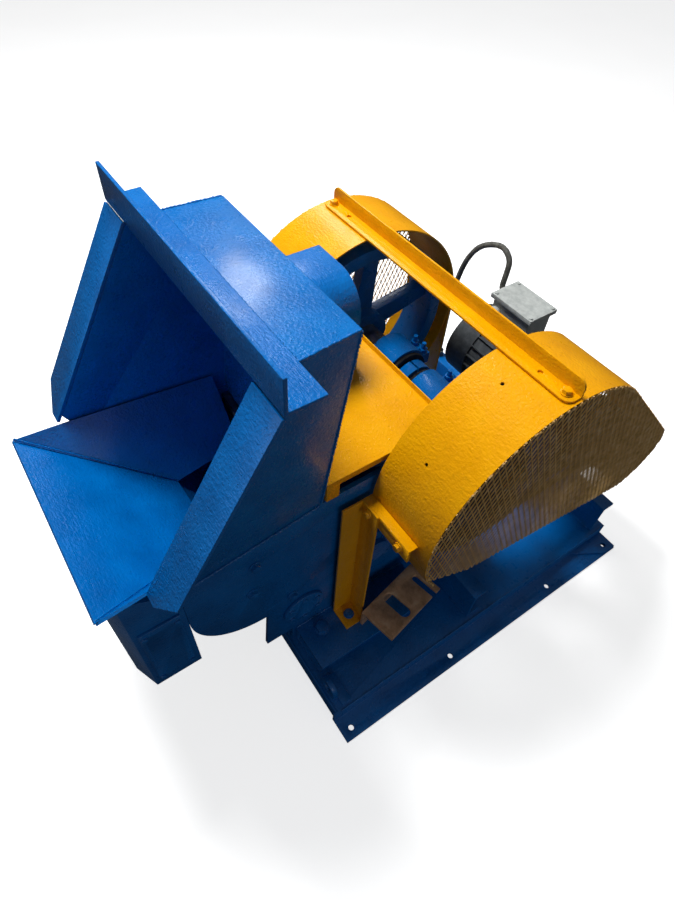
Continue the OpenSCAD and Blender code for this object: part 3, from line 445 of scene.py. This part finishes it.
def expanded_metal_tree():
    """Geometry nodes: two staggered grids of strands, cut to a plate's outline and thickened."""
    tree = bpy.data.node_groups.new("expanded_metal", "GeometryNodeTree")
    sockets = {}
    for name, kind in (("Plate", "NodeSocketObject"), ("Strands", "NodeSocketObject"),
                       ("Centre", "NodeSocketVector"), ("Short Way", "NodeSocketFloat"),
                       ("Long Way", "NodeSocketFloat"), ("Columns", "NodeSocketInt"),
                       ("Rows", "NodeSocketInt"), ("Strand Width", "NodeSocketFloat"),
                       ("Strand Thickness", "NodeSocketFloat"), ("Tilt", "NodeSocketFloat"),
                       ("Half Plate", "NodeSocketFloat"), ("Material", "NodeSocketMaterial")):
        sockets[name] = tree.interface.new_socket(name=name, in_out="INPUT", socket_type=kind)
    tree.interface.new_socket(name="Geometry", in_out="OUTPUT", socket_type="NodeSocketGeometry")
    given = tree.nodes.new("NodeGroupInput").outputs
    output = tree.nodes.new("NodeGroupOutput")
    width = add(tree, "ShaderNodeMath", {0: given["Columns"], 1: given["Short Way"]},
                operation="MULTIPLY")
    tall = add(tree, "ShaderNodeMath", {0: given["Rows"], 1: given["Long Way"]},
               operation="MULTIPLY")
    columns = add(tree, "ShaderNodeMath", {0: given["Columns"], 1: 1.0}, operation="ADD")
    rows = add(tree, "ShaderNodeMath", {0: given["Rows"], 1: 1.0}, operation="ADD")
    grid = add(tree, "GeometryNodeMeshGrid", {"Size X": tall.outputs[0], "Size Y": width.outputs[0],
                                              "Vertices X": rows.outputs[0],
                                              "Vertices Y": columns.outputs[0]})
    half_short = add(tree, "ShaderNodeMath", {0: given["Short Way"], 1: 0.5}, operation="MULTIPLY")
    half_long = add(tree, "ShaderNodeMath", {0: given["Long Way"], 1: 0.5}, operation="MULTIPLY")
    stagger = add(tree, "ShaderNodeCombineXYZ", {"Y": half_short.outputs[0], "Z": half_long.outputs[0]})
    second_place = add(tree, "ShaderNodeVectorMath", {0: given["Centre"], 1: stagger.outputs[0]},
                       operation="ADD")
    # the grid is turned so that its X runs up Z and its Y stays along Y
    upright = (0.0, -math.pi / 2, 0.0)
    first_grid = add(tree, "GeometryNodeTransform", {"Geometry": grid.outputs["Mesh"],
                                                     "Translation": given["Centre"],
                                                     "Rotation": upright})
    second_grid = add(tree, "GeometryNodeTransform", {"Geometry": grid.outputs["Mesh"],
                                                      "Translation": second_place.outputs[0],
                                                      "Rotation": upright})
    both = tree.nodes.new("GeometryNodeJoinGeometry")
    tree.links.new(first_grid.outputs[0], both.inputs[0])
    tree.links.new(second_grid.outputs[0], both.inputs[0])
    unit = add(tree, "GeometryNodeObjectInfo", {"Object": given["Strands"]})
    placed = add(tree, "GeometryNodeInstanceOnPoints", {"Points": both.outputs[0],
                                                        "Instance": unit.outputs["Geometry"]})
    wires = add(tree, "GeometryNodeRealizeInstances", {0: placed.outputs[0]})
    plate = add(tree, "GeometryNodeObjectInfo", {"Object": given["Plate"]})
    near = add(tree, "GeometryNodeProximity", {0: plate.outputs["Geometry"]}, target_element="FACES")
    reach = add(tree, "ShaderNodeMath", {0: given["Half Plate"], 1: 0.0036}, operation="ADD")
    far_off = add(tree, "FunctionNodeCompare", {0: near.outputs["Distance"], 1: reach.outputs[0]},
                  data_type="FLOAT", operation="GREATER_THAN")
    kept = add(tree, "GeometryNodeDeleteGeometry", {0: wires.outputs[0], 1: far_off.outputs[0]},
               domain="POINT")
    edge = add(tree, "ShaderNodeMath", {0: given["Half Plate"], 1: 0.0001}, operation="ADD")
    outside = add(tree, "FunctionNodeCompare", {0: near.outputs["Distance"], 1: edge.outputs[0]},
                  data_type="FLOAT", operation="GREATER_THAN")
    nearest = add(tree, "ShaderNodeSeparateXYZ", {0: near.outputs["Position"]})
    middle = add(tree, "ShaderNodeSeparateXYZ", {0: given["Centre"]})
    on_rim = add(tree, "ShaderNodeCombineXYZ", {"X": middle.outputs["X"], "Y": nearest.outputs["Y"],
                                                "Z": nearest.outputs["Z"]})
    snapped = add(tree, "GeometryNodeSetPosition", {"Geometry": kept.outputs[0],
                                                    "Selection": outside.outputs[0],
                                                    "Position": on_rim.outputs[0]})
    curves = add(tree, "GeometryNodeMeshToCurve", {0: snapped.outputs[0]})
    upright_normals = add(tree, "GeometryNodeSetCurveNormal", {"Curve": curves.outputs[0]})
    tilted = add(tree, "GeometryNodeSetCurveTilt", {"Curve": upright_normals.outputs[0],
                                                    "Tilt": given["Tilt"]})
    profile = add(tree, "GeometryNodeCurvePrimitiveQuadrilateral", {0: given["Strand Width"],
                                                                    1: given["Strand Thickness"]})
    solid = add(tree, "GeometryNodeCurveToMesh", {"Curve": tilted.outputs[0],
                                                  "Profile Curve": profile.outputs[0],
                                                  "Fill Caps": True})
    flat = add(tree, "GeometryNodeSetShadeSmooth", {"Geometry": solid.outputs[0],
                                                    "Shade Smooth": False})
    real = add(tree, "GeometryNodeRealizeInstances", {0: flat.outputs[0]})
    coloured = add(tree, "GeometryNodeSetMaterial", {"Geometry": real.outputs[0],
                                                     "Material": given["Material"]})
    tree.links.new(coloured.outputs[0], output.inputs[0])
    return tree, sockets


mesh_tree, mesh_sockets = expanded_metal_tree()
strands = strand_pair()


def expanded_metal(node_name):
    """Expanded metal in place of a guard's flat plate."""
    corners = [nodes[node_name].matrix_world @ Vector(c) for c in nodes[node_name].bound_box]
    low_corner = Vector([min(c[i] for c in corners) for i in range(3)])
    high_corner = Vector([max(c[i] for c in corners) for i in range(3)])
    middle, span = (low_corner + high_corner) / 2, high_corner - low_corner
    holder = bpy.data.objects.new(node_name + "_expanded", bpy.data.meshes.new(node_name + "_expanded"))
    scene.collection.objects.link(holder)
    maker = holder.modifiers.new("expanded metal", "NODES")
    maker.node_group = mesh_tree
    for name, value in (("Plate", nodes[node_name]), ("Strands", strands), ("Centre", middle),
                        ("Short Way", SHORT_WAY), ("Long Way", LONG_WAY),
                        ("Columns", math.ceil(span.y / SHORT_WAY) + 2),
                        ("Rows", math.ceil(span.z / LONG_WAY) + 2), ("Strand Width", 0.0026),
                        ("Strand Thickness", 0.0014), ("Tilt", 0.45), ("Half Plate", span.x / 2),
                        ("Material", mesh_paint_with_painted_light)):
        maker[mesh_sockets[name].identifier] = value
    applied(holder)
    paint(holder, mesh_paint_with_painted_light)
    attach(holder, body_of[node_name])
    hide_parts(node_name)
    return holder


for name in ("guard_mesh_near", "guard_mesh_far"):
    expanded_metal(name)

# ---------------------------------------------------------------- welds

MM = 0.001
SHAFT_HEIGHT = 520      # the main shaft above the floor, in millimetres


def mm(*points):
    """A path given in millimetres."""
    return [[c * MM for c in point] for point in points]


def mirrored(path):
    """The same path on the mill's other side."""
    return [(-x, y, z) for x, y, z in path]


def rim_tacks(x, radius, start, end, step, seed):
    """Short tacks round a guard's edge, between two angles round the main shaft."""
    chance = random.Random(seed)
    made = []
    angle = start
    while angle < end:
        turn = angle + chance.uniform(-0.3, 0.3) * step
        span = chance.uniform(0.008, 0.026)
        arm = radius - chance.uniform(1.0, 4.0)
        angles = [turn + t * span for t in (0, 0.5, 1)]
        made.append(mm(*[(x, arm * math.cos(a), SHAFT_HEIGHT + arm * math.sin(a)) for a in angles]))
        angle += step
    return made


# the hopper's seams, with the flange and the top angle welded to it
wall_foot = mm((179.5, -377, 570.5), (200.5, -656, 570.5))
wall_back = mm((193, -330, 956), (179, -374, 574))
top_edge = mm((204.5, -486, 957.5), (192.5, -331, 957.5))
flange_root = mm((207, -682, 648), (207, -489, 952))
bead("hopper_foot_welds", [wall_foot, mirrored(wall_foot)], 0.0034, "frame", "blue_enamel", 3)
bead("hopper_corner_welds", [wall_back, mirrored(wall_back)], 0.0024, "frame", "blue_enamel", 5)
bead("hopper_top_welds", [top_edge, mirrored(top_edge)], 0.0026, "frame", "blue_enamel", 7)
bead("flange_root_welds", [flange_root, mirrored(flange_root)], 0.0028, "frame", "blue_enamel", 9)
bead("top_angle_welds", [mm((-200, -487.5, 964.5), (200, -487.5, 964.5)),
                         mm((-196, -433.5, 958.8), (196, -433.5, 958.8))], 0.0028, "frame",
     "blue_enamel", 11)
# the base, and the tray's creases
rail_root = mm((380.5, -452, 6.5), (380.5, 452, 6.5))
rail_top = mm((379.5, -440, 45.5), (379.5, 452, 45.5))
bead("rail_welds", [rail_root, mirrored(rail_root), rail_top, mirrored(rail_top)], 0.0026, "frame",
     "blue_enamel", 13)
sill_root = mm((179, -431, 100.8), (179, -122, 100.8))
bead("sill_welds", [sill_root, mirrored(sill_root)], 0.0028, "frame", "blue_enamel", 15)
tray_crease = mm((200, -776, 624.5), (80, -548, 474.5))
bead("tray_welds", [tray_crease, mirrored(tray_crease)], 0.0018, "frame", "blue_enamel", 17)
bead("channel_welds", [mm((x - 26, y - 0.5, 46.8), (x + 26, y - 0.5, 46.8))
                       for x in (-330, -200, 200, 330) for y in (-52, 410)], 0.0028, "frame",
     "blue_enamel", 19)
near_tacks = rim_tacks(355.8, 262, -0.55, 3.7, 0.052, 21)
far_tacks = rim_tacks(-355.8, 262, -0.3, 3.4, 0.052, 23)
# the tacks share the strands' paint, lightened as painted light
bead("guard_tacks_near", near_tacks, 0.0027, "frame", "guard_mesh", 21)
bead("guard_tacks_far", far_tacks, 0.0027, "frame", "guard_mesh", 23)
